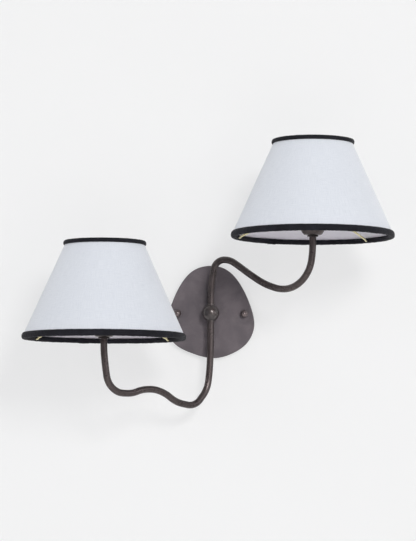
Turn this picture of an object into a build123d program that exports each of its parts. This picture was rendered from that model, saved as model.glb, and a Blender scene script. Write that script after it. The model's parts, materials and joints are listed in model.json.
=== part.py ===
from build123d import *

import math
import os

# Double arm wall sconce. Millimetres, +Z up, +X towards the higher shade, -Y out of the wall.
# The origin is on the wall, behind the centre of the ball.

# ---- wall plate and what holds it ----
PLATE_DEPTH = 8.0
PLATE_WALL = 2.0
PLATE_EDGE_ROUND = 1.2
# (x, z) points round the pebble-shaped edge of the plate, clockwise from the top
PLATE_EDGE = [
    (0.0, 62.2), (23.2, 55.1), (41.0, 33.3), (52.6, 6.5), (56.2, -15.7), (48.3, -35.8), (28.6, -50.7),
    (5.0, -57.0), (-24.0, -50.8), (-47.6, -37.5), (-57.0, -17.0), (-52.4, 7.0), (-40.0, 35.8), (-23.4, 55.4),
]
BRACKET_R = 48.0
BRACKET_T = 1.6
WIRE_HOLE_R = 12.0
STUD_SPACING = 86.0
STUD_R = 2.08
STUD_TIP_Y = -13.0
SLOT_CENTRES = 79.4
SLOT_LENGTH = 14.3
SLOT_WIDTH = 4.8
GROUND_SCREW_AT = (-22.0, -24.0)
GROUND_SCREW_R = 1.9
GROUND_HEAD_R = 4.0
GROUND_HEAD_T = 2.6
KNOB_R = 4.9
KNOB_Y = -12.6
KNOB_NECK_R = 3.3
KNOB_CLEARANCE = 0.05

# ---- ball and its stem ----
BALL_R = 11.0
BALL_Y = -22.0
BALL_CAVITY_R = 7.0
BOSS_R = 5.1
BOSS_TOP = 11.5
STEM_R = 4.75
STEM_BORE_R = 3.5
STEM_FRONT_Y = -15.4
STEM_BACK_Y = -2.4
COLLAR_R = 6.6
WASHER_R = 8.0
WASHER_T = 0.8
STEM_NUT_ACROSS = 14.0
STEM_NUT_T = 2.6

# ---- arms ----
TUBE_R = 4.35
TUBE_BORE_R = 3.0
NECK_R = 4.0
NECK_IN_BALL = 6.4
# Each arm lies in one upright plane through the ball. Its wave is rounded off these corners,
# (distance from the ball, height).
UPPER_CORNERS = [
    (0.0, 31.5), (5.7, 61.8), (16.8, 68.3), (31.9, 66.6), (43.3, 60.2), (65.0, 46.5),
    (88.2, 33.5), (112.4, 26.0), (130.9, 26.4), (148.4, 35.0), (161.0, 51.5), (164.2, 72.2),
]
LOWER_CORNERS = [
    (0.0, -45.8), (1.1, -72.5), (4.7, -97.9), (20.5, -115.6), (31.3, -119.2), (54.5, -115.8), (72.6, -104.5),
    (89.5, -99.6), (109.1, -100.5), (124.9, -106.0), (147.9, -105.5), (162.5, -93.6), (166.0, -76.1),
    (169.0, -53.8),
]
# Part of the shorter run beside a corner that its bend takes up: nearly half, so bends run into each other
BEND_SHARE = 0.49

# ---- where the shades stand ----
SHADE_Y = -127.0
RIGHT_X = 126.2
RIGHT_RIM_Z = 88.2
LEFT_X = -132.4
LEFT_RIM_Z = -40.1

# ---- shade, heights above its rim plane ----
CONE_BASE_R = 102.4
CONE_SLOPE = 0.447
FABRIC_T = 0.4
LINER_T = 0.6
PANEL_BOTTOM = 4.4
PANEL_TOP = 119.4
RIM_WIRE_R = 1.3
BOTTOM_WIRE_AT = (99.2, 2.9)
TOP_WIRE_AT = (49.4, 120.8)
# (radius, height) points of the rolled tape round each rim, from its inner lip round to its outer lip
BOTTOM_TAPE = [
    (96.2, 5.9), (95.9, 2.6), (98.2, 0.0), (100.8, 0.4),
    (101.9, 3.0), (101.7, 5.8), (100.4, 7.7), (99.0, 8.3),
]
TOP_TAPE = [(47.6, 117.0), (46.9, 120.8), (49.4, 123.0), (51.6, 121.0), (51.4, 118.0)]
SPOKE_R = 1.25
SPOKE_COUNT = 3
# (radius, height) of the two bends near a spoke's outer end, where it comes out of the tape and turns up
SPOKE_HOOK = [(94.6, 2.3), (93.2, 4.0)]
SPOKE_BEND_R = 1.5
RIGHT_SPOKE_TURN = 42.0
LEFT_SPOKE_TURN = 34.5
SPIDER_RING_IN = 14.4
SPIDER_RING_OUT = 18.2
SPIDER_RING_BOTTOM = 37.0
SPIDER_RING_T = 2.0

# ---- socket and lamp, heights above the rim plane ----
TUBE_TOP = 1.3
CHECK_RING_R = 7.0
CHECK_RING_T = 2.0
CUP_BOTTOM = TUBE_TOP + CHECK_RING_T
CUP_WALL = 1.2
CUP_TOP = 20.0
CUP_NUT_ACROSS = 12.0
CUP_NUT_T = 5.0
NECK_TOP = 15.0
SOCKET_BOTTOM = 11.0
SOCKET_TOP = 50.0
SOCKET_SKIRT_R = 13.1
SOCKET_FLANGE_R = 16.2
SOCKET_FLANGE_T = 2.0
SOCKET_THREAD_R = 13.9
TERMINAL_ROOM_R = 10.0
TERMINAL_ROOM = (13.0, 18.0)
SHELL_R = 6.4
SHELL_BORE_R = 5.95
SHELL_BOTTOM = 20.0
SHELL_TOP = 48.0
CONTACT_TOP = 23.0
CAP_R = 5.9
CAP_WALL = 0.5
CAP_BOTTOM = 25.6
CAP_TOP = 47.0
GLASS_R = 17.5
GLASS_NECK_TOP = 51.0
GLASS_WIDEST_AT = 75.0
GLASS_SWELL = 13.0
GLASS_TAPER = 21.0
GLASS_TIP_R = 9.0
GLASS_WALL = 0.9
GLASS_TOP = 117.0
FITTER_NUT_R = 20.5
FITTER_NUT_T = 7.0
FITTER_GRIPS = 20
FITTER_CLEARANCE = 0.05

# ---- conductors ----
CORE_R = 0.95
CORE_OFFSET = 1.1
CORE_BACK_Y = -0.4
CORE_TOP = 16.0
CORE_BEND_IN_BALL = 4.0


def upright(radius, bottom, top):
    """A cylinder on the Z axis between two heights."""
    return Pos(0, 0, (bottom + top) / 2) * Cylinder(radius, top - bottom)


def level(radius, back_y, front_y, x=0.0, z=0.0):
    """A cylinder along Y, from its end nearer the wall to its end nearer the room."""
    middle = Pos(x, (back_y + front_y) / 2, z)
    return middle * Rot(90, 0, 0) * Cylinder(radius, back_y - front_y)


def hexagon_prism(across, length):
    """A hexagonal bar on the Z axis, standing on the plane z = 0."""
    return extrude(RegularPolygon(across / 2, 6, major_radius=False), length)


def turned(profile):
    """A face drawn as (radius, height), spun round the Z axis."""
    return revolve(Plane.XZ * profile, Axis.Z, 360)


def cone_radius(height):
    """Outer radius of the shade's cloth at a height above the rim plane."""
    return CONE_BASE_R - CONE_SLOPE * height


def cone_shell(outer_inset, thickness):
    """One layer of the shade: a straight-sided cone open at both ends."""
    low = cone_radius(PANEL_BOTTOM) - outer_inset
    high = cone_radius(PANEL_TOP) - outer_inset
    outer = [(low, PANEL_BOTTOM), (high, PANEL_TOP)]
    inner = [(high - thickness, PANEL_TOP), (low - thickness, PANEL_BOTTOM)]
    return turned(Polygon(*outer, *inner, align=None))


def rim_wire(at):
    """A wire ring inside a rim."""
    return Pos(0, 0, at[1]) * Torus(at[0], RIM_WIRE_R)


def tape(points):
    """Cloth tape rolled round a rim: a rounded section that closes across the panel."""
    section = make_face(Spline(points) + Line(points[-1], points[0]))
    return turned(section)


# ---- wall plate ----
def plate_outline(inset):
    """The pebble outline, moved inwards by the inset."""
    points = []
    for number, (x, z) in enumerate(PLATE_EDGE):
        before = Vector(*PLATE_EDGE[number - 1])
        after = Vector(*PLATE_EDGE[(number + 1) % len(PLATE_EDGE)])
        along = (after - before).normalized()
        points.append(Vector(x, z) + Vector(along.Y, -along.X) * inset)
    return make_face(Spline(points, periodic=True))


def make_backplate():
    outline = plate_outline(0.0)
    hollow = plate_outline(PLATE_WALL)
    plate = extrude(Plane.XZ * outline, PLATE_DEPTH)
    front_edge = plate.faces().sort_by(Axis.Y)[0].edges()
    plate = fillet(front_edge, PLATE_EDGE_ROUND)
    plate -= extrude(Plane.XZ * hollow, PLATE_DEPTH - PLATE_WALL)
    plate -= level(STEM_R, 0, -PLATE_DEPTH)
    for side in (-1, 1):
        plate -= level(STUD_R, 0, -PLATE_DEPTH, x=side * STUD_SPACING / 2)
    return plate


def make_bracket():
    bracket = level(BRACKET_R, 0, -BRACKET_T) - level(WIRE_HOLE_R, 0, -BRACKET_T)
    slot = extrude(SlotOverall(SLOT_LENGTH, SLOT_WIDTH, rotation=90), BRACKET_T)
    for side in (-1, 1):
        bracket -= level(STUD_R, 0, -BRACKET_T, x=side * STUD_SPACING / 2)
        bracket -= Plane.XZ * Pos(0, side * SLOT_CENTRES / 2) * slot
    bracket -= level(GROUND_SCREW_R, 0, -BRACKET_T, *GROUND_SCREW_AT)
    return bracket


def make_plate_studs():
    return [level(STUD_R, 0, STUD_TIP_Y, x=side * STUD_SPACING / 2) for side in (-1, 1)]


def make_ground_screw():
    x, z = GROUND_SCREW_AT
    shank = level(GROUND_SCREW_R, 0, -BRACKET_T, x, z)
    head = level(GROUND_HEAD_R, -BRACKET_T, -BRACKET_T - GROUND_HEAD_T, x, z)
    driver_slot = Pos(x, -BRACKET_T - GROUND_HEAD_T, z) * Box(2 * GROUND_HEAD_R, 1.6, 1.0)
    return shank + head - driver_slot


def make_knob(side):
    x = side * STUD_SPACING / 2
    knob = Pos(x, KNOB_Y, 0) * Sphere(KNOB_R)
    knob += level(KNOB_NECK_R, -PLATE_DEPTH, KNOB_Y, x)
    behind_plate = Pos(x, 0, 0) * Box(4 * KNOB_R, 2 * PLATE_DEPTH, 4 * KNOB_R)
    return knob - behind_plate - level(STUD_R + KNOB_CLEARANCE, 0, STUD_TIP_Y - 0.4, x)


# ---- ball and stem ----
def make_ball():
    centre = Pos(0, BALL_Y, 0)
    ball = centre * Sphere(BALL_R)
    ball += centre * upright(BOSS_R, -BOSS_TOP, BOSS_TOP)
    ball -= centre * Sphere(BALL_CAVITY_R)
    ball -= centre * upright(NECK_R, -BOSS_TOP, BOSS_TOP)
    return ball - level(STEM_R, -PLATE_DEPTH, BALL_Y)


def make_stem_nipple():
    return level(STEM_R, STEM_BACK_Y, STEM_FRONT_Y) - level(STEM_BORE_R, STEM_BACK_Y, STEM_FRONT_Y)


def make_stem_collar():
    collar = level(COLLAR_R, -PLATE_DEPTH, BALL_Y + BALL_CAVITY_R)
    return collar - Pos(0, BALL_Y, 0) * Sphere(BALL_R) - level(STEM_R, -PLATE_DEPTH, BALL_Y)


def make_stem_washer():
    back = -PLATE_DEPTH + PLATE_WALL + WASHER_T
    return level(WASHER_R, back, back - WASHER_T) - level(STEM_R, back, back - WASHER_T)


def make_stem_nut():
    front = -PLATE_DEPTH + PLATE_WALL + WASHER_T
    nut = Pos(0, front, 0) * Rot(-90, 0, 0) * hexagon_prism(STEM_NUT_ACROSS, STEM_NUT_T)
    return nut - level(STEM_R, front + STEM_NUT_T, front)


# ---- arms ----
def arm_direction(shade_x):
    """Level unit vector from the ball towards a shade's axis."""
    return Vector(shade_x, SHADE_Y - BALL_Y, 0).normalized()


def arm_point(shade_x, out, height, sideways=0.0):
    """A point in the arm's upright plane, or beside it."""
    along = arm_direction(shade_x)
    across = Vector(-along.Y, along.X, 0)
    return Vector(0, BALL_Y, height) + along * out + across * sideways


def arm_corners(shade_x, corners, beside=0.0):
    """The corners in space of an arm, or of a core beside it. The last stands on the shade's axis."""
    reach = math.hypot(shade_x, SHADE_Y - BALL_Y)
    points = [arm_point(shade_x, out, height, beside) for out, height in corners[:-1]]
    return points + [arm_point(shade_x, reach, corners[-1][1], beside)]


def bend_radii(points):
    """Radius of the bend at each corner between the first and the last point."""
    radii = []
    for before, corner, after in zip(points, points[1:], points[2:]):
        run_in = before - corner
        run_out = after - corner
        shorter = min(run_in.length, run_out.length)
        half_angle = math.radians(run_in.get_angle(run_out) / 2)
        radii.append(BEND_SHARE * shorter * math.tan(half_angle))
    return radii


def arm_points(shade_x, corners, side, rim_z):
    """Corners of an arm's centreline with its two ends, in the ball's shoulder and under the cup."""
    shoulder = arm_point(shade_x, 0, side * BOSS_TOP)
    inner = arm_corners(shade_x, corners)
    return [shoulder] + inner + [Vector(inner[-1].X, inner[-1].Y, rim_z + TUBE_TOP)]


def make_arm(shade_x, corners, side, rim_z):
    """A bent tube, turned down to a threaded neck at each end."""
    points = arm_points(shade_x, corners, side, rim_z)
    path = FilletPolyline(points, radius=bend_radii(points))
    section = Plane(path @ 0, z_dir=path % 0) * (Circle(TUBE_R) - Circle(TUBE_BORE_R))
    tube = sweep(section, path=path)
    ball_neck = upright(NECK_R, NECK_IN_BALL, BOSS_TOP) - upright(TUBE_BORE_R, NECK_IN_BALL, BOSS_TOP)
    if side < 0:
        ball_neck = mirror(ball_neck, Plane.XY)
    socket_neck = upright(NECK_R, TUBE_TOP, NECK_TOP) - upright(TUBE_BORE_R, TUBE_TOP, NECK_TOP)
    return tube + Pos(0, BALL_Y, 0) * ball_neck + Pos(shade_x, SHADE_Y, rim_z) * socket_neck


def make_cores(shade_x, corners, side, rim_z):
    """The two insulated cores inside an arm, side by side, from the socket to the wall."""
    radii = bend_radii(arm_points(shade_x, corners, side, rim_z))
    cores = []
    for beside in (-CORE_OFFSET, CORE_OFFSET):
        at_wall = Vector(beside, CORE_BACK_Y, side * CORE_OFFSET)
        in_ball = Vector(beside, BALL_Y, side * CORE_OFFSET)
        inner = arm_corners(shade_x, corners, beside)
        in_socket = Vector(inner[-1].X, inner[-1].Y, rim_z + CORE_TOP)
        path = FilletPolyline([at_wall, in_ball, *inner, in_socket], radius=[CORE_BEND_IN_BALL] + radii)
        cores.append(sweep(Plane(path @ 0, z_dir=path % 0) * Circle(CORE_R), path=path))
    return cores


# ---- socket, in the shade's frame ----
def make_check_ring():
    ring = upright(CHECK_RING_R, TUBE_TOP, CUP_BOTTOM)
    ring = fillet(ring.edges().filter_by(GeomType.CIRCLE), 0.7)
    return ring - upright(NECK_R, TUBE_TOP, CUP_BOTTOM)


def make_cup():
    bowl = Spline(
        (8.2, CUP_BOTTOM), (12.2, CUP_BOTTOM + 1.9), (14.8, CUP_BOTTOM + 6.2), (16.6, CUP_TOP),
        tangents=((1, 0.05), (0.05, 1)),
    )
    flat = Line((0, CUP_BOTTOM), bowl @ 0)
    outline = flat + bowl + Line(bowl @ 1, (0, CUP_TOP)) + Line((0, CUP_TOP), (0, CUP_BOTTOM))
    solid_bowl = turned(make_face(outline))
    rim = solid_bowl.faces().sort_by(Axis.Z)[-1]
    cup = offset(solid_bowl, amount=-CUP_WALL, openings=rim)
    return cup - upright(NECK_R, 0, CUP_TOP)


def make_cup_nut():
    bottom = CUP_BOTTOM + CUP_WALL
    return Pos(0, 0, bottom) * hexagon_prism(CUP_NUT_ACROSS, CUP_NUT_T) - upright(NECK_R, 0, CUP_TOP)


def make_socket_body():
    flange_bottom = SPIDER_RING_BOTTOM - SOCKET_FLANGE_T
    body = upright(SOCKET_SKIRT_R, SOCKET_BOTTOM, flange_bottom)
    body += upright(SOCKET_FLANGE_R, flange_bottom, SPIDER_RING_BOTTOM)
    body += upright(SOCKET_THREAD_R, SPIDER_RING_BOTTOM, SOCKET_TOP)
    body -= upright(NECK_R, SOCKET_BOTTOM, TERMINAL_ROOM[0])
    body -= upright(TERMINAL_ROOM_R, *TERMINAL_ROOM)
    body -= upright(1.0, TERMINAL_ROOM[1], SHELL_BOTTOM)
    return body - upright(SHELL_R, SHELL_BOTTOM, SOCKET_TOP)


def make_socket_shell():
    shell = upright(SHELL_R, SHELL_BOTTOM, SHELL_TOP)
    shell -= upright(SHELL_BORE_R, SHELL_BOTTOM + 0.6, SHELL_TOP)
    return shell - upright(4.0, SHELL_BOTTOM, SHELL_BOTTOM + 0.6)


def make_socket_contact():
    return upright(1.0, TERMINAL_ROOM[0] + 3.5, CONTACT_TOP) + upright(2.6, CONTACT_TOP - 0.8, CONTACT_TOP)


def make_fitter_nut():
    bottom = SPIDER_RING_BOTTOM + SPIDER_RING_T
    top = bottom + FITTER_NUT_T
    nut = upright(FITTER_NUT_R, bottom, top)
    nut = fillet(nut.edges().filter_by(GeomType.CIRCLE), 1.0)
    grip = Pos(FITTER_NUT_R + 0.6, 0, 0) * upright(1.4, bottom, top)
    for number in range(FITTER_GRIPS):
        nut -= Rot(0, 0, number * 360 / FITTER_GRIPS) * grip
    return nut - upright(SOCKET_THREAD_R + FITTER_CLEARANCE, bottom, top)


def make_lamp_cap():
    cap = upright(CAP_R, CAP_BOTTOM, CAP_TOP)
    return cap - upright(CAP_R - CAP_WALL, CAP_BOTTOM + CAP_WALL, CAP_TOP) - upright(4.0, CAP_BOTTOM, CAP_TOP)


def make_lamp_contact():
    insulator = Pos(0, 0, (CONTACT_TOP + 0.9 + CAP_BOTTOM + CAP_WALL) / 2) * Cone(
        2.6, 4.0, CAP_BOTTOM + CAP_WALL - CONTACT_TOP - 0.9
    )
    return insulator + upright(2.2, CONTACT_TOP, CONTACT_TOP + 0.9)


def glass_outline(inset):
    """Half section of the lamp's glass, drawn as (radius, height)."""
    neck_r = CAP_R - CAP_WALL - inset
    wide_r = GLASS_R - inset
    top = GLASS_TOP - inset
    low = CAP_TOP - 6.0
    neck = Line((0, low), (neck_r, low)) + Line((neck_r, low), (neck_r, GLASS_NECK_TOP))
    swell = Bezier(
        (neck_r, GLASS_NECK_TOP), (neck_r, GLASS_NECK_TOP + GLASS_SWELL / 2),
        (wide_r, GLASS_WIDEST_AT - GLASS_SWELL), (wide_r, GLASS_WIDEST_AT),
    )
    tip = Bezier(
        (wide_r, GLASS_WIDEST_AT), (wide_r, GLASS_WIDEST_AT + GLASS_TAPER), (GLASS_TIP_R, top), (0, top),
    )
    return make_face(neck + swell + tip + Line((0, top), (0, low)))


def make_lamp_glass():
    return turned(glass_outline(0.0)) - turned(glass_outline(GLASS_WALL))


# ---- shade, in its own frame ----
def make_spider(turn):
    """The fitter ring and its spokes, each hooked to the bottom wire."""
    ring_top = SPIDER_RING_BOTTOM + SPIDER_RING_T
    spider = upright(SPIDER_RING_OUT, SPIDER_RING_BOTTOM, ring_top)
    line = [BOTTOM_WIRE_AT] + SPOKE_HOOK + [(SPIDER_RING_OUT - 1.0, ring_top - SPOKE_R)]
    spoke = FilletPolyline([Vector(radius, 0, height) for radius, height in line], radius=SPOKE_BEND_R)
    rod = sweep(Plane(spoke @ 0, z_dir=spoke % 0) * Circle(SPOKE_R), path=spoke)
    for number in range(SPOKE_COUNT):
        spider += Rot(0, 0, turn + number * 360 / SPOKE_COUNT) * rod
    spider -= upright(SPIDER_RING_IN, SPIDER_RING_BOTTOM - SPOKE_R, ring_top + SPOKE_R)
    spider -= upright(SPIDER_RING_OUT * 2, ring_top, ring_top + SPOKE_R)
    return spider - rim_wire(BOTTOM_WIRE_AT)


def make_shade(turn):
    """Every piece of one shade, by the last part of its name."""
    fabric = cone_shell(0.0, FABRIC_T)
    liner = cone_shell(FABRIC_T, LINER_T)
    bottom_wire = rim_wire(BOTTOM_WIRE_AT)
    top_wire = rim_wire(TOP_WIRE_AT)
    spider = make_spider(turn) - liner
    return {
        "shade_fabric": fabric,
        "shade_liner": liner,
        "bottom_wire": bottom_wire,
        "top_wire": top_wire,
        "spider": spider,
        "bottom_trim": tape(BOTTOM_TAPE) - fabric - liner - bottom_wire - spider,
        "top_trim": tape(TOP_TAPE) - fabric - liner - top_wire,
    }


def make_lamp_holder():
    """Every piece of one socket and its lamp, by the last part of its name."""
    return {
        "check_ring": make_check_ring(),
        "cup": make_cup(),
        "cup_nut": make_cup_nut(),
        "socket_body": make_socket_body(),
        "socket_shell": make_socket_shell(),
        "socket_contact": make_socket_contact(),
        "fitter_nut": make_fitter_nut(),
        "lamp_cap": make_lamp_cap(),
        "lamp_contact": make_lamp_contact(),
        "lamp_glass": make_lamp_glass(),
    }


# ---- the whole sconce ----
nodes = {
    "backplate": make_backplate(),
    "wall_bracket": make_bracket(),
    "plate_studs": make_plate_studs(),
    "ground_screw": make_ground_screw(),
    "left_knob": make_knob(-1),
    "right_knob": make_knob(1),
    "centre_ball": make_ball(),
    "stem_nipple": make_stem_nipple(),
    "stem_collar": make_stem_collar(),
    "stem_washer": make_stem_washer(),
    "stem_nut": make_stem_nut(),
    "upper_arm": make_arm(RIGHT_X, UPPER_CORNERS, 1, RIGHT_RIM_Z),
    "lower_arm": make_arm(LEFT_X, LOWER_CORNERS, -1, LEFT_RIM_Z),
    "upper_cores": make_cores(RIGHT_X, UPPER_CORNERS, 1, RIGHT_RIM_Z),
    "lower_cores": make_cores(LEFT_X, LOWER_CORNERS, -1, LEFT_RIM_Z),
}

sides = {
    "right": (Pos(RIGHT_X, SHADE_Y, RIGHT_RIM_Z), RIGHT_SPOKE_TURN),
    "left": (Pos(LEFT_X, SHADE_Y, LEFT_RIM_Z), LEFT_SPOKE_TURN),
}
for side_name, (place, spoke_turn) in sides.items():
    pieces = make_lamp_holder() | make_shade(spoke_turn)
    for piece_name, piece in pieces.items():
        nodes[f"{side_name}_{piece_name}"] = place * piece

os.makedirs("parts", exist_ok=True)
for node_name, shape in nodes.items():
    if isinstance(shape, list):
        shape = Compound(children=[solid for item in shape for solid in item.solids()])
    export_step(shape, f"parts/{node_name}.step")
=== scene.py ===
import json
import math

import bmesh
import bpy
from mathutils import Matrix, Vector, noise


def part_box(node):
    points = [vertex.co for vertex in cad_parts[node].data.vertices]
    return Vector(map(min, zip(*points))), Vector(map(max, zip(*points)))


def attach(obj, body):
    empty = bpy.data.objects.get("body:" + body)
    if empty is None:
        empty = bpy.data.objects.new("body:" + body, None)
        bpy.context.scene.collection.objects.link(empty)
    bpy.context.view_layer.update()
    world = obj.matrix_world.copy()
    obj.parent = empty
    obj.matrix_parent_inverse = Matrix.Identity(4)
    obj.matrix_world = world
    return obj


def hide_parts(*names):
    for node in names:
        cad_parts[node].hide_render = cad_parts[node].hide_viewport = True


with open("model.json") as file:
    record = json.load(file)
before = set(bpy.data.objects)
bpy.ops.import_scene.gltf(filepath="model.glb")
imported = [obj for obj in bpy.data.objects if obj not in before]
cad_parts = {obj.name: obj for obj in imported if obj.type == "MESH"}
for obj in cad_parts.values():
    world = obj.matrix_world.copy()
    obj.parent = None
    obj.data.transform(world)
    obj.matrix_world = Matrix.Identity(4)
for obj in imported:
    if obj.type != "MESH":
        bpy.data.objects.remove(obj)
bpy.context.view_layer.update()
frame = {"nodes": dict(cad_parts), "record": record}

# Double arm wall sconce: the finish of every piece, in metres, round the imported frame.
MM = 0.001
THREAD_PITCH = 2.54 * MM
RIB_PITCH = 0.7 * MM
TWILL_PITCH = 1.1 * MM

# ---- camera: the photograph's viewing angle ----
CAMERA_AT = (-3.85 * MM, -3106.3 * MM, -186.8 * MM)
CAMERA_PITCH = 0.0782
CAMERA_ROLL = 0.0059
LENS = 160.0

# ---- shades, in millimetres; heights are above the shade's lowest point ----
SIDES = ("right", "left")
CONE_BASE_R = 102.4
CONE_SLOPE = 0.447
PANEL_BOTTOM = 4.4
PANEL_TOP = 119.4
FABRIC_T = 0.36
# (radius, height) points of each rolled tape, from its inner lip round the outside to its outer lip
BOTTOM_TAPE = [
    (98.6, 6.0), (97.6, 6.3), (96.5, 5.6), (95.9, 4.0), (96.1, 2.0), (97.3, 0.5), (99.2, 0.0),
    (100.8, 0.4), (101.7, 1.8), (101.9, 3.6), (101.7, 5.4), (101.0, 7.0), (100.0, 8.0), (98.9, 8.3),
]
TOP_TAPE = [
    (48.4, 117.1), (47.7, 117.9), (46.95, 120.1), (47.6, 122.0), (49.3, 122.9), (50.8, 122.5),
    (51.6, 120.8), (51.6, 119.0), (51.1, 117.9), (49.9, 117.7),
]
SEAM_WIDTH = 9.0
SEAM_TURN = {"right": 96.0, "left": 84.0}
# how far the lapped edge of the cloth stands up, and the share of that it loses across the seam
SEAM_LAP = 0.38
SEAM_FALL = 0.25
CLOTH_TURNS = 720
CLOTH_ROWS = 46
CLOTH_SEED = {"right": 3.0, "left": 11.0}
# (depth in mm, scale per mm) of the waves in the cloth
CLOTH_WAVES = [(0.10, 0.035), (0.03, 0.16)]
# width that the texture gives to the strip closing a section
CLOSING_STRIP = 1.0
TAPE_TURNS = 900
TAPE_CURVE_STEPS = 5
TAPE_SEED = {"right": 5.0, "left": 23.0}
# how far the puckers lean round the rim from lip to lip, in radians
TAPE_LEAN = 0.012
TAPE_JOIN_WIDTH = 12.0
TAPE_JOIN_LIFT = 0.55
# depths of the tape's puckers, creases and slow swelling, and how far its lips wander
TAPE_PUCKER = 0.30
TAPE_CREASE = 0.12
TAPE_SWELLING = 0.25
TAPE_LIP_WANDER = 0.18


def shade_origin(side):
    """The shade's axis at the height of its lowest point, in metres."""
    low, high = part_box(f"{side}_bottom_wire")
    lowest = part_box(f"{side}_bottom_trim")[0][2]
    return Vector(((low[0] + high[0]) / 2, (low[1] + high[1]) / 2, lowest))


# ------------------------------------------------------------------ node helpers
class Shader:
    """A material with one Principled shader and short calls for the nodes that feed it."""

    def __init__(self, name):
        self.material = bpy.data.materials.new(name)
        self.material.use_nodes = True
        self.tree = self.material.node_tree
        self.bsdf = self.tree.nodes["Principled BSDF"]
        self.coordinates = self.tree.nodes.new("ShaderNodeTexCoord")

    def set(self, **values):
        for key, value in values.items():
            self.bsdf.inputs[key.replace("_", " ")].default_value = value

    def node(self, kind, inputs=None, **settings):
        """A node whose inputs are either linked, when a socket is given, or set."""
        made = self.tree.nodes.new(kind)
        for key, value in settings.items():
            setattr(made, key, value)
        for key, value in (inputs or {}).items():
            if isinstance(value, bpy.types.NodeSocket):
                self.tree.links.new(value, made.inputs[key])
            else:
                made.inputs[key].default_value = value
        return made

    def place(self):
        return self.coordinates.outputs["Object"]

    def uv(self):
        return self.coordinates.outputs["UV"]

    def noise(self, scale, detail=3.0, roughness=0.55, vector=None, distortion=0.0):
        """Noise with about that many cells to the metre."""
        made = self.node("ShaderNodeTexNoise", {
            "Vector": vector or self.place(), "Scale": scale, "Detail": detail,
            "Roughness": roughness, "Distortion": distortion,
        })
        return made.outputs["Fac"]

    def stretch(self, factors, vector=None):
        inputs = {0: vector or self.place(), 1: factors}
        return self.node("ShaderNodeVectorMath", inputs, operation="MULTIPLY").outputs[0]

    def part(self, vector, axis):
        """One component of a vector."""
        return self.node("ShaderNodeSeparateXYZ", {0: vector}).outputs[axis]

    def grey(self, value):
        """The grey colour of a value."""
        return self.node("ShaderNodeCombineColor", {0: value, 1: value, 2: value}).outputs[0]

    def math(self, operation, a, b=0.0):
        return self.node("ShaderNodeMath", {0: a, 1: b}, operation=operation).outputs[0]

    def weighted(self, a, share_a, b, share_b):
        """The sum of two values, each times its share."""
        return self.math("ADD", self.math("MULTIPLY", a, share_a), self.math("MULTIPLY", b, share_b))

    def ramp(self, factor, stops):
        """Colours laid out along a value, from (position, colour) stops."""
        made = self.node("ShaderNodeValToRGB", {"Fac": factor})
        stops = sorted(stops)
        made.color_ramp.elements[0].position = stops[0][0]
        made.color_ramp.elements[0].color = (*stops[0][1], 1)
        made.color_ramp.elements[1].position = stops[-1][0]
        made.color_ramp.elements[1].color = (*stops[-1][1], 1)
        for position, colour in stops[1:-1]:
            made.color_ramp.elements.new(position).color = (*colour, 1)
        return made.outputs["Color"]

    def range(self, value, low, high, from_low=0.0, from_high=1.0):
        """A value mapped to low..high."""
        return self.node("ShaderNodeMapRange", {
            "Value": value, "From Min": from_low, "From Max": from_high, "To Min": low, "To Max": high,
        }).outputs[0]

    def mix(self, factor, a, b, blend="MIX"):
        made = self.node("ShaderNodeMix", data_type="RGBA", blend_type=blend)
        for socket, value in ((made.inputs[0], factor), (made.inputs[6], a), (made.inputs[7], b)):
            if isinstance(value, bpy.types.NodeSocket):
                self.tree.links.new(value, socket)
            else:
                socket.default_value = value if isinstance(value, float) else (*value, 1)
        return made.outputs[2]

    def link(self, key, socket):
        self.tree.links.new(socket, self.bsdf.inputs[key])

    def bump(self, height, strength, distance, before=None):
        """A normal bent by a height, on top of the normal given before."""
        inputs = {"Height": height, "Strength": strength, "Distance": distance}
        if before is not None:
            inputs["Normal"] = before
        return self.node("ShaderNodeBump", inputs).outputs[0]


def srgb(red, green, blue):
    """A display colour, 0 to 255, as the linear values a shader takes."""
    return tuple(((c / 255 + 0.055) / 1.055) ** 2.4 if c > 10 else c / 3295 for c in (red, green, blue))


def grey(value):
    return (value, value, value)


# ------------------------------------------------------------------ materials
def bronze_material(name, tones, blotch, shine, metal, coat, painted_side_shade, relief):
    """Hand-rubbed dark bronze: mottled, faintly brushed and pitted, with painted shade darkening the
    parts that face sideways.

    tones runs from dark to light, blotch is the mottling's scale, shine the roughness and coat the
    clear coat's weight, roughness and IOR. The side-shade argument is the share of colour kept where a
    part turns sideways: painted shade.
    """
    s = Shader(name)
    coat_weight, coat_roughness, coat_ior = coat
    s.set(Metallic=metal, Coat_Weight=coat_weight, Coat_Roughness=coat_roughness, Coat_IOR=coat_ior)
    s.set(Specular_IOR_Level=0.5, Specular_Tint=(0.5, 0.46, 0.46, 1.0))
    cloud = s.noise(blotch, detail=4.0, roughness=0.55, distortion=0.5)
    fine = s.noise(blotch * 9, detail=3.0, roughness=0.6)
    tone = s.weighted(cloud, 0.88, fine, 0.12)
    mottled = s.ramp(tone, [(0.38, tones[0]), (0.5, tones[1]), (0.62, tones[2])])
    # painted shade: the colour is multiplied down where the surface turns away from the front
    facing = s.math("ABSOLUTE", s.part(s.coordinates.outputs["Normal"], "Y"))
    front = s.grey(s.range(facing, painted_side_shade, 1.0, 0.6, 0.97))
    s.link("Base Color", s.mix(1.0, mottled, front, "MULTIPLY"))
    rubbed = s.noise(blotch * 2.2, detail=4.0)
    s.link("Roughness", s.range(rubbed, shine - 0.03, shine + 0.05, 0.3, 0.7))
    brushed = s.noise(900.0, detail=2.0, vector=s.stretch((1.0, 1.0, 0.12)))
    pits = s.noise(2600.0, detail=2.0)
    first = s.bump(brushed, 0.8 * relief, 0.12 * MM)
    s.link("Normal", s.bump(pits, relief, 0.06 * MM, first))
    return s.material


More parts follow.
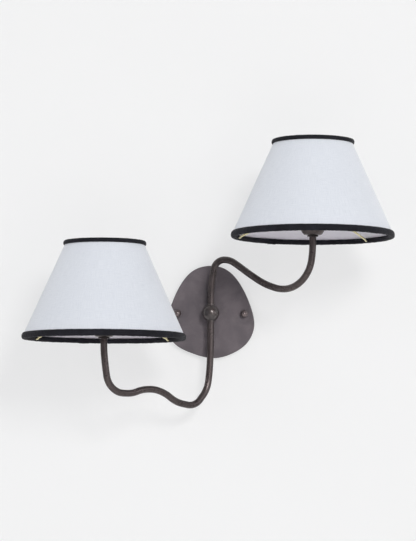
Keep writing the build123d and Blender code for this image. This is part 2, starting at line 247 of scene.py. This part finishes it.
def plated_steel_material():
    """Zinc-plated sheet and screws: pale grey with spangle and fine scratches."""
    s = Shader("zinc_plate")
    s.set(Metallic=1.0)
    spangle = s.node("ShaderNodeTexVoronoi", {"Vector": s.place(), "Scale": 420.0}).outputs["Distance"]
    cloud = s.noise(80.0, detail=4.0)
    tone = s.weighted(spangle, 0.5, cloud, 0.6)
    tones = [(0.25, grey(0.42)), (0.55, grey(0.56)), (0.85, (0.6, 0.61, 0.64))]
    s.link("Base Color", s.ramp(tone, tones))
    s.link("Roughness", s.range(cloud, 0.26, 0.46, 0.3, 0.7))
    scratches = s.noise(1500.0, detail=2.0, vector=s.stretch((0.06, 1.0, 1.0)))
    s.link("Normal", s.bump(scratches, 0.15, 0.08 * MM))
    return s.material


def painted_screw_material():
    """Green lacquer over steel, slightly uneven."""
    s = Shader("green_lacquer")
    s.set(Metallic=0.4, Coat_Weight=0.3, Coat_Roughness=0.15)
    cloud = s.noise(700.0, detail=3.0)
    s.link("Base Color", s.ramp(cloud, [(0.3, (0.02, 0.13, 0.045)), (0.7, (0.035, 0.2, 0.07))]))
    s.link("Roughness", s.range(cloud, 0.25, 0.4))
    s.link("Normal", s.bump(s.noise(2500.0), 0.2, 0.05 * MM))
    return s.material


def brass_material():
    """Pale lacquered brass wire and turned brass."""
    s = Shader("pale_brass")
    s.set(Metallic=1.0, Coat_Weight=0.25, Coat_Roughness=0.2)
    cloud = s.noise(160.0, detail=4.0)
    tones = [(0.3, (0.66, 0.58, 0.32)), (0.5, (0.77, 0.71, 0.44)), (0.7, (0.84, 0.79, 0.54))]
    s.link("Base Color", s.ramp(cloud, tones))
    s.link("Roughness", s.range(cloud, 0.2, 0.38, 0.3, 0.7))
    drawn = s.noise(2400.0, detail=2.0, vector=s.stretch((1.0, 1.0, 0.2)))
    s.link("Normal", s.bump(drawn, 0.12, 0.05 * MM))
    return s.material


def nickel_material():
    """Nickelled lamp cap with rolled thread lines."""
    s = Shader("nickel_cap")
    s.set(Metallic=1.0)
    cloud = s.noise(300.0, detail=3.0)
    s.link("Base Color", s.ramp(cloud, [(0.3, (0.52, 0.5, 0.46)), (0.7, (0.66, 0.64, 0.6))]))
    s.link("Roughness", s.range(cloud, 0.18, 0.34))
    turns = s.math("SINE", s.math("MULTIPLY", s.part(s.place(), "Z"), 2 * math.pi / THREAD_PITCH))
    s.link("Normal", s.bump(turns, 0.6, 0.4 * MM))
    return s.material


def phenolic_material():
    """Moulded black phenolic: faint flow marks and a low sheen."""
    s = Shader("phenolic")
    s.set(Specular_IOR_Level=0.45)
    flow = s.noise(140.0, detail=5.0, distortion=1.2)
    tones = [(0.3, (0.012, 0.011, 0.011)), (0.6, (0.022, 0.02, 0.019)), (0.8, (0.035, 0.03, 0.027))]
    s.link("Base Color", s.ramp(flow, tones))
    s.link("Roughness", s.range(flow, 0.34, 0.55))
    s.link("Normal", s.bump(s.noise(1800.0, detail=3.0), 0.18, 0.06 * MM))
    return s.material


def sheath_material():
    """Ivory insulation on the cores."""
    s = Shader("core_sheath")
    s.set(Specular_IOR_Level=0.5)
    cloud = s.noise(220.0, detail=3.0)
    s.link("Base Color", s.ramp(cloud, [(0.3, (0.62, 0.6, 0.53)), (0.7, (0.72, 0.7, 0.63))]))
    s.link("Roughness", s.range(cloud, 0.38, 0.52))
    s.link("Normal", s.bump(s.noise(1600.0), 0.15, 0.05 * MM))
    return s.material


def lamp_glass_material():
    """Frosted white lamp glass, thick enough to hide what is in it."""
    s = Shader("frosted_glass")
    s.set(Roughness=0.38, IOR=1.5, Coat_Weight=0.4, Coat_Roughness=0.25)
    s.set(Subsurface_Weight=0.2, Subsurface_Scale=3 * MM, Subsurface_Radius=(1.0, 1.0, 1.0))
    cloud = s.noise(60.0, detail=3.0)
    s.link("Base Color", s.ramp(cloud, [(0.3, (0.78, 0.78, 0.75)), (0.7, (0.84, 0.84, 0.82))]))
    s.link("Normal", s.bump(s.noise(2200.0), 0.1, 0.04 * MM))
    return s.material


def lamp_base_material():
    """Black glassy insulator, faintly ringed."""
    s = Shader("lamp_base")
    s.set(Specular_IOR_Level=0.6)
    cloud = s.noise(500.0, detail=3.0)
    rings = s.math("SINE", s.math("MULTIPLY", s.part(s.place(), "Z"), 900.0))
    tone = s.weighted(cloud, 0.8, rings, 0.05)
    s.link("Base Color", s.ramp(tone, [(0.3, (0.02, 0.02, 0.024)), (0.7, (0.06, 0.06, 0.07))]))
    s.link("Roughness", s.range(cloud, 0.15, 0.3))
    return s.material


def liner_material():
    """White styrene backing: smooth, slightly see-through, with faint rolling marks."""
    s = Shader("styrene_liner")
    s.set(Specular_IOR_Level=0.35)
    s.set(Subsurface_Weight=0.2, Subsurface_Scale=2 * MM, Subsurface_Radius=(1.0, 1.0, 1.0))
    cloud = s.noise(18.0, detail=4.0)
    s.link("Base Color", s.ramp(cloud, [(0.3, srgb(240, 236, 244)), (0.7, srgb(248, 244, 250))]))
    s.link("Roughness", s.range(cloud, 0.5, 0.64))
    rolled = s.noise(700.0, detail=2.0, vector=s.stretch((1.0, 1.0, 0.08)))
    s.link("Normal", s.bump(rolled, 0.08, 0.06 * MM))
    return s.material


def woven(s, across, along, pitch_across, pitch_along):
    """Height of a plain weave, whose threads pass over and under each other."""
    warp = s.math("MULTIPLY", across, math.pi / pitch_across)
    weft = s.math("MULTIPLY", along, math.pi / pitch_along)
    warp_round = s.math("ABSOLUTE", s.math("SINE", warp))
    weft_round = s.math("ABSOLUTE", s.math("SINE", weft))
    crossing = s.math("MULTIPLY", s.math("COSINE", warp), s.math("COSINE", weft))
    over = s.math("GREATER_THAN", crossing, 0.0)
    under = s.math("SUBTRACT", 1.0, over)
    return s.weighted(warp_round, over, weft_round, under)


def linen_material():
    """White linen laminated to the shade: fine plain weave with slubs and uneven threads."""
    s = Shader("white_linen")
    s.set(Roughness=0.82, Sheen_Weight=0.55, Sheen_Roughness=0.6, Specular_IOR_Level=0.2)
    u, v = s.part(s.uv(), "X"), s.part(s.uv(), "Y")
    wander = s.noise(140.0, detail=2.0, vector=s.uv())
    u_bent = s.math("ADD", u, s.math("MULTIPLY", wander, 0.6 * MM))
    v_bent = s.math("ADD", v, s.math("MULTIPLY", wander, 0.5 * MM))
    height = woven(s, u_bent, v_bent, 0.46 * MM, 0.50 * MM)
    slub_across = s.noise(1.0, detail=3.0, vector=s.stretch((90.0, 2600.0, 1.0), s.uv()))
    slub_along = s.noise(1.0, detail=3.0, vector=s.stretch((2600.0, 70.0, 1.0), s.uv()))
    slubs = s.weighted(slub_across, 0.5, slub_along, 0.5)
    tones = [(0.30, srgb(216, 220, 228)), (0.5, srgb(228, 232, 239)), (0.70, srgb(238, 241, 247))]
    gaps = s.grey(s.range(height, 0.93, 1.0, 0.0, 0.6))
    s.link("Base Color", s.mix(1.0, s.ramp(slubs, tones), gaps, "MULTIPLY"))
    s.link("Normal", s.bump(s.weighted(height, 0.6, slubs, 0.9), 0.35, 0.12 * MM))
    return s.material


def tape_material():
    """Black cotton tape: cross ribs, faint diagonal twill and fluff."""
    s = Shader("black_tape")
    s.set(Roughness=0.85, Sheen_Weight=0.06, Sheen_Roughness=0.4, Specular_IOR_Level=0.2)
    u, v = s.part(s.uv(), "X"), s.part(s.uv(), "Y")
    ribs = s.math("ABSOLUTE", s.math("SINE", s.math("MULTIPLY", u, math.pi / RIB_PITCH)))
    twill = s.math("SINE", s.math("MULTIPLY", s.math("ADD", u, v), 2 * math.pi / TWILL_PITCH))
    fluff = s.noise(700.0, detail=4.0)
    cloud = s.noise(60.0, detail=3.0)
    tones = [(0.3, srgb(20, 20, 24)), (0.55, srgb(31, 31, 37)), (0.75, srgb(45, 46, 54))]
    s.link("Base Color", s.ramp(s.weighted(fluff, 0.5, cloud, 0.5), tones))
    threads = s.bump(s.weighted(ribs, 0.7, twill, 0.2), 0.5, 0.18 * MM)
    s.link("Normal", s.bump(fluff, 0.35, 0.25 * MM, threads))
    return s.material


# ------------------------------------------------------------------ meshes
def smooth_curve(points, steps):
    """Points on a Catmull-Rom curve through the given (radius, height) points."""
    result = []
    for i in range(len(points) - 1):
        p0 = Vector(points[max(i - 1, 0)])
        p1 = Vector(points[i])
        p2 = Vector(points[i + 1])
        p3 = Vector(points[min(i + 2, len(points) - 1)])
        for k in range(steps):
            t = k / steps
            blend = 2 * p1 + (p2 - p0) * t + (2 * p0 - 5 * p1 + 4 * p2 - p3) * t * t
            blend += (3 * p1 - p0 - 3 * p2 + p3) * t * t * t
            result.append(blend / 2)
    result.append(Vector(points[-1]))
    return result


def turned_from(start, angle):
    """The angle from start to angle, between minus and plus half a turn."""
    return (angle - start + math.pi) % (2 * math.pi) - math.pi


def ring_object(name, origin, section, turns, shape):
    """Sweeps a closed section round the shade's axis.

    shape(angle, index, point) returns the moved (radius, height) of a point of the section.
    """
    mesh = bpy.data.meshes.new(name)
    bm = bmesh.new()
    uv_layer = bm.loops.layers.uv.new("weave")
    lengths = [0.0]
    for before, after in zip(section, section[1:]):
        lengths.append(lengths[-1] + (Vector(after) - Vector(before)).length)
    mean_r = sum(point[0] for point in section) / len(section)
    rows = []
    for turn in range(turns):
        angle = 2 * math.pi * turn / turns
        row = []
        for index, point in enumerate(section):
            radius, height = shape(angle, index, point)
            offset = Vector((radius * math.cos(angle), radius * math.sin(angle), height)) * MM
            row.append(bm.verts.new(origin + offset))
        rows.append(row)
    count = len(section)
    for turn in range(turns):
        here, there = rows[turn], rows[(turn + 1) % turns]
        for index in range(count):
            after = (index + 1) % count
            face = bm.faces.new((here[index], there[index], there[after], here[after]))
            face.smooth = True
            start = 2 * math.pi * turn / turns * mean_r * MM
            end = 2 * math.pi * (turn + 1) / turns * mean_r * MM
            low = lengths[index] * MM
            high = (lengths[after] if after else lengths[-1] + CLOSING_STRIP) * MM
            for loop, corner in zip(face.loops, ((start, low), (end, low), (end, high), (start, high))):
                loop[uv_layer].uv = corner
    bmesh.ops.recalc_face_normals(bm, faces=bm.faces)
    bm.to_mesh(mesh)
    bm.free()
    piece = bpy.data.objects.new(name, mesh)
    bpy.context.scene.collection.objects.link(piece)
    return piece


def ring_noise(angle, radius, height, scale, seed):
    """Noise that closes on itself round the ring."""
    at = Vector((math.cos(angle) * radius, math.sin(angle) * radius, height + seed)) * scale
    return noise.noise(at)


def cone_radius(height):
    """Outer radius of the cloth at a height above the shade's lowest point."""
    return CONE_BASE_R - CONE_SLOPE * height


def make_cloth(side, material):
    """The shade's linen: a thin cone, lapped and glued along a seam at the back."""
    seam = math.radians(SEAM_TURN[side])
    span = PANEL_TOP - PANEL_BOTTOM
    heights = [PANEL_BOTTOM + span * k / CLOTH_ROWS for k in range(CLOTH_ROWS + 1)]
    outer = [(cone_radius(h), h) for h in heights]
    inner = [(cone_radius(h) - FABRIC_T, h) for h in reversed(heights)]
    seed = CLOTH_SEED[side]

    def shape(angle, index, point):
        radius, height = point
        if index >= len(outer):
            return radius, height
        arc = turned_from(seam, angle) * radius
        lap = 0.0
        if 0.0 <= arc <= SEAM_WIDTH:
            lap = SEAM_LAP * (1 - arc / SEAM_WIDTH * SEAM_FALL)
        waves = [depth * ring_noise(angle, radius, height, scale, seed) for depth, scale in CLOTH_WAVES]
        return radius + lap + sum(waves), height

    name = f"{side}_shade_cloth"
    piece = ring_object(name, shade_origin(side), outer + inner, CLOTH_TURNS, shape)
    piece.data.materials.append(material)
    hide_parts(f"{side}_shade_fabric")
    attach(piece, f"{side}_shade")


def make_tape(side, name, points, node, swell, material, join):
    """Tape rolled round a rim, slightly puckered, with its end lapped over at the join.

    swell scales the puckers and the lap; join is the lap's angle from the cloth's seam, in degrees.
    """
    section = [tuple(point) for point in smooth_curve(points, TAPE_CURVE_STEPS)]
    seed = TAPE_SEED[side] + points[0][0]
    count = len(section)
    centre = Vector((sum(p[0] for p in section) / count, sum(p[1] for p in section) / count))
    mean_r = centre.x
    join_at = math.radians(SEAM_TURN[side] + join)

    def shape(angle, index, point):
        here = Vector(point)
        outward = (here - centre).normalized()
        middle = math.sin(math.pi * index / (count - 1))
        lean = angle + TAPE_LEAN * (index / count - 0.5)
        pucker = ring_noise(lean, mean_r, point[1] * 0.4, 0.30, seed)
        crease = ring_noise(lean, mean_r, point[1], 0.85, seed)
        slow = ring_noise(angle, mean_r, 0.0, 0.05, seed)
        away = turned_from(join_at, angle) * mean_r
        lap = TAPE_JOIN_LIFT if 0.0 <= away <= TAPE_JOIN_WIDTH else 0.0
        push = swell * (TAPE_PUCKER * pucker + TAPE_CREASE * crease)
        push = push + TAPE_SWELLING * swell * slow + lap * swell
        moved = here + outward * push * middle
        lip = (1 - middle) * TAPE_LIP_WANDER * ring_noise(angle, mean_r, 40.0 + index, 0.22, seed)
        return moved.x, moved.y + lip

    piece = ring_object(f"{side}_{name}", shade_origin(side), section, TAPE_TURNS, shape)
    piece.data.materials.append(material)
    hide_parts(node)
    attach(piece, f"{side}_shade")


# ------------------------------------------------------------------ build
bronze_arm = bronze_material(
    "bronze_arm", tones=(srgb(75, 66, 65), srgb(83, 74, 73), srgb(91, 81, 80)), blotch=45.0,
    shine=0.28, metal=0.55, coat=(0.4, 0.2, 1.5), painted_side_shade=0.65, relief=0.015,
)
bronze_ball = bronze_material(
    "bronze_ball", tones=(srgb(64, 56, 55), srgb(76, 66, 65), srgb(90, 79, 77)), blotch=60.0,
    shine=0.36, metal=0.7, coat=(1.0, 0.26, 1.6), painted_side_shade=0.8, relief=0.02,
)
# darker copy of the bronze for the check rings and stem collar: painted shade, for where they sit under
# the shades and behind the ball
bronze_collar_painted_shade = bronze_material(
    "bronze_collar_painted_shade", tones=(srgb(40, 35, 35), srgb(50, 44, 44), srgb(62, 55, 54)), blotch=90.0,
    shine=0.4, metal=0.6, coat=(0.2, 0.2, 1.5), painted_side_shade=1.0, relief=0.05,
)
# the knobs' coppery hue is their own; their lighter tones are painted highlight
bronze_knob_painted_highlight = bronze_material(
    "bronze_knob_painted_highlight", tones=(srgb(90, 78, 78), srgb(108, 94, 94), srgb(130, 113, 112)), blotch=160.0,
    shine=0.28, metal=0.7, coat=(1.0, 0.26, 1.6), painted_side_shade=0.8, relief=0.02,
)
bronze_plate = bronze_material(
    "bronze_plate", tones=(srgb(101, 95, 99), srgb(109, 102, 106), srgb(117, 109, 113)), blotch=42.0,
    shine=0.42, metal=0.3, coat=(0.12, 0.2, 1.5), painted_side_shade=0.5, relief=0.12,
)
linen = linen_material()
tape = tape_material()

SLOT_MATERIALS = {
    "bronze": bronze_arm,
    "zinc_steel": plated_steel_material(),
    "green_steel": painted_screw_material(),
    "core_sheath": sheath_material(),
    "phenolic": phenolic_material(),
    "brass": brass_material(),
    "nickel": nickel_material(),
    "lamp_base": lamp_base_material(),
    "lamp_glass": lamp_glass_material(),
    "linen": linen,
    "liner": liner_material(),
    "black_tape": tape,
}
# pieces whose bronze differs from the arms' and cups'; the collars' darker copy is painted shade and
# the knobs' lighter tones are painted highlight
BRONZE_NODES = {
    "backplate": bronze_plate,
    "left_knob": bronze_knob_painted_highlight,
    "right_knob": bronze_knob_painted_highlight,
    "centre_ball": bronze_ball,
    "left_check_ring": bronze_collar_painted_shade,
    "right_check_ring": bronze_collar_painted_shade,
    "stem_collar": bronze_collar_painted_shade,
}


def dress_nodes():
    """Gives each CAD node the material of its slot, or its own bronze."""
    slots = {entry["node"]: entry["material_slot"] for entry in frame["record"]["subparts"]}
    for name, node in frame["nodes"].items():
        material = BRONZE_NODES.get(name) or SLOT_MATERIALS[slots[name]]
        node.data.materials.clear()
        node.data.materials.append(material)


dress_nodes()
for side in SIDES:
    make_cloth(side, linen)
    make_tape(side, "rim_tape", BOTTOM_TAPE, f"{side}_bottom_trim", 1.0, tape, 20.0)
    make_tape(side, "neck_tape", TOP_TAPE, f"{side}_top_trim", 0.45, tape, -35.0)


# ------------------------------------------------------------------ wall, floor, lights, camera
# the backdrop as seen directly and in reflections: an even glow plus a share of the lit surface
PAPER_GLOW = 0.56
PAPER_SHADE = 0.35


def backdrop_material(name, colour):
    """A pale matt surface that lets the view through from behind."""
    s = Shader(name)
    s.set(Roughness=0.9, Specular_IOR_Level=0.1)
    cloud = s.noise(3.0, detail=4.0)
    s.link("Base Color", s.ramp(cloud, [(0.3, tuple(c * 0.99 for c in colour)), (0.7, colour)]))
    s.link("Normal", s.bump(s.noise(260.0, detail=3.0), 0.05, 0.3 * MM))
    path = s.node("ShaderNodeLightPath")
    seen = s.math("MAXIMUM", path.outputs["Is Camera Ray"], path.outputs["Is Glossy Ray"])
    seen = s.math("MAXIMUM", seen, path.outputs["Is Transmission Ray"])
    glow = s.node("ShaderNodeEmission", {"Color": (*grey(1.0), 1), "Strength": PAPER_GLOW})
    shade = s.node("ShaderNodeBsdfDiffuse", {"Color": (*grey(PAPER_SHADE), 1)})
    paper = s.node("ShaderNodeAddShader", {0: glow.outputs[0], 1: shade.outputs[0]})
    front = s.node("ShaderNodeMixShader", {0: seen, 1: s.bsdf.outputs[0], 2: paper.outputs[0]})
    clear = s.node("ShaderNodeBsdfTransparent")
    behind = s.node("ShaderNodeNewGeometry").outputs["Backfacing"]
    both = s.node("ShaderNodeMixShader", {0: behind, 1: front.outputs[0], 2: clear.outputs[0]})
    s.tree.links.new(both.outputs[0], s.tree.nodes["Material Output"].inputs["Surface"])
    return s.material


def make_panel(name, corners, material):
    """One flat side of the backdrop."""
    mesh = bpy.data.meshes.new(name)
    mesh.from_pydata(corners, [], [(0, 1, 2, 3)])
    panel = bpy.data.objects.new(name, mesh)
    bpy.context.scene.collection.objects.link(panel)
    panel.data.materials.append(material)


def make_lamp(name, location, target, size, energy, colour, glints=True):
    """An area light. One without glints lights surfaces but isn't mirrored in them."""
    data = bpy.data.lights.new(name, "AREA")
    data.shape = "RECTANGLE"
    data.size, data.size_y = size
    data.energy = energy
    data.color = colour
    lamp = bpy.data.objects.new(name, data)
    lamp.location = location
    lamp.visible_glossy = glints
    lamp.rotation_euler = (Vector(target) - Vector(location)).to_track_quat("-Z", "Y").to_euler()
    bpy.context.scene.collection.objects.link(lamp)


WALL_HALF = 3.0
WALL_Y = 0.0006
WALL_TOP = 2.4
FLOOR_Z = -1.2
FLOOR_FRONT = -5.0
wall_paint = backdrop_material("wall_paint", grey(0.90))
floor_paint = backdrop_material("floor_paint", grey(0.88))
make_panel("backdrop_wall", [
    (-WALL_HALF, WALL_Y, FLOOR_Z), (WALL_HALF, WALL_Y, FLOOR_Z),
    (WALL_HALF, WALL_Y, WALL_TOP), (-WALL_HALF, WALL_Y, WALL_TOP),
], wall_paint)
make_panel("backdrop_floor", [
    (-WALL_HALF, FLOOR_FRONT, FLOOR_Z), (WALL_HALF, FLOOR_FRONT, FLOOR_Z),
    (WALL_HALF, WALL_Y, FLOOR_Z), (-WALL_HALF, WALL_Y, FLOOR_Z),
], floor_paint)

MIDDLE = (0.0, -0.05, 0.0)
NEARER_MIDDLE = (0.0, -0.1, 0.0)
WARM_WHITE = (1.0, 0.99, 0.98)
COOL_WHITE = (0.97, 0.98, 1.0)
PINK_WHITE = (0.99, 0.97, 1.0)
make_lamp("key", (0.85, -2.9, 1.1), MIDDLE, (0.7, 0.7), 30.0, WARM_WHITE)
make_lamp("strip", (1.2, -2.7, 0.3), MIDDLE, (0.3, 3.0), 10.0, WARM_WHITE)
make_lamp("low", (0.0, -2.2, -1.0), NEARER_MIDDLE, (2.0, 1.0), 4.0, PINK_WHITE, glints=False)
make_lamp("right", (2.6, -1.5, 0.6), MIDDLE, (1.6, 1.6), 12.0, COOL_WHITE)
make_lamp("left", (-2.4, -1.8, 0.4), MIDDLE, (2.4, 2.4), 22.0, COOL_WHITE, glints=False)

scene = bpy.context.scene
world = bpy.data.worlds.new("studio")
world.use_nodes = True
sky = world.node_tree.nodes["Background"]
sky.inputs["Color"].default_value = (0.95, 0.97, 1.0, 1.0)
sky.inputs["Strength"].default_value = 0.3
scene.world = world
scene.view_settings.view_transform = "Standard"

camera_data = bpy.data.cameras.new("photo_view")
camera_data.lens = LENS
camera_data.sensor_width = 36.0
camera_data.clip_end = 50.0
camera = bpy.data.objects.new("photo_view", camera_data)
pitched = Matrix.Rotation(math.pi / 2 + CAMERA_PITCH, 4, "X")
camera.matrix_world = Matrix.Translation(CAMERA_AT) @ pitched @ Matrix.Rotation(CAMERA_ROLL, 4, "Z")
scene.collection.objects.link(camera)
scene.camera = camera
